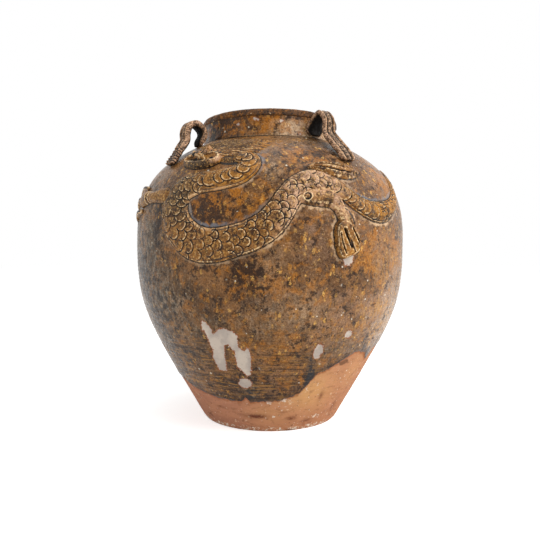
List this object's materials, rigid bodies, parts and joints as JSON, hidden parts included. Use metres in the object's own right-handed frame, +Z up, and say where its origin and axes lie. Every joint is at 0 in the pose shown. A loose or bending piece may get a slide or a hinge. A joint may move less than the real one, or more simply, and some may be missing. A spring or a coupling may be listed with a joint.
{
  "type": "martaban jar",
  "caption": "Squat broad-shouldered stoneware storage jar with a short rolled neck, loop ears on the shoulder and applied scaled dragons, brown ash glaze over a bare foot.",
  "frame": {"origin": "centre of the flat foot, on the surface that the jar stands on", "axes": "+Z up along the jar axis; the four ears lie on -Y (front), +X (right), +Y (back) and -X (left); the picture looks from between the front and left ears"},
  "size_m": [0.327, 0.3372, 0.36],
  "materials": {
    "bare_clay": "unglazed fired clay",
    "lower_glaze": "mottled brown ash glaze, bare clay at the foot",
    "shoulder_glaze": "mottled brown ash glaze",
    "worn_lip": "worn brown glaze",
    "ear_glaze": "amber-brown ash glaze",
    "dragon_glaze": "amber glaze pooled dark in the scale lines"
  },
  "bodies": {
    "root": {"base_slab": "bare_clay", "lower_body": "lower_glaze", "upper_body": "shoulder_glaze", "neck_collar": "shoulder_glaze", "lip_coil": "worn_lip", "ear_front": "ear_glaze", "ear_right": "ear_glaze", "ear_back": "ear_glaze", "ear_left": "ear_glaze", "front_dragon_body": "dragon_glaze", "front_dragon_tail": "dragon_glaze", "front_dragon_head": "dragon_glaze", "front_dragon_jaw": "dragon_glaze", "front_dragon_eye": "dragon_glaze", "front_dragon_horn": "dragon_glaze", "front_dragon_mane": "dragon_glaze", "front_dragon_foreleg": "dragon_glaze", "front_dragon_foreclaws": "dragon_glaze", "front_dragon_hindleg": "dragon_glaze", "front_dragon_hindclaws": "dragon_glaze", "front_dragon_spur": "dragon_glaze", "front_dragon_far_paw": "dragon_glaze", "back_dragon_body": "dragon_glaze", "back_dragon_tail": "dragon_glaze", "back_dragon_head": "dragon_glaze", "back_dragon_jaw": "dragon_glaze", "back_dragon_eye": "dragon_glaze", "back_dragon_horn": "dragon_glaze", "back_dragon_mane": "dragon_glaze", "back_dragon_foreleg": "dragon_glaze", "back_dragon_foreclaws": "dragon_glaze", "back_dragon_hindleg": "dragon_glaze", "back_dragon_hindclaws": "dragon_glaze", "back_dragon_spur": "dragon_glaze", "back_dragon_far_paw": "dragon_glaze"}
  },
  "joints": []
}
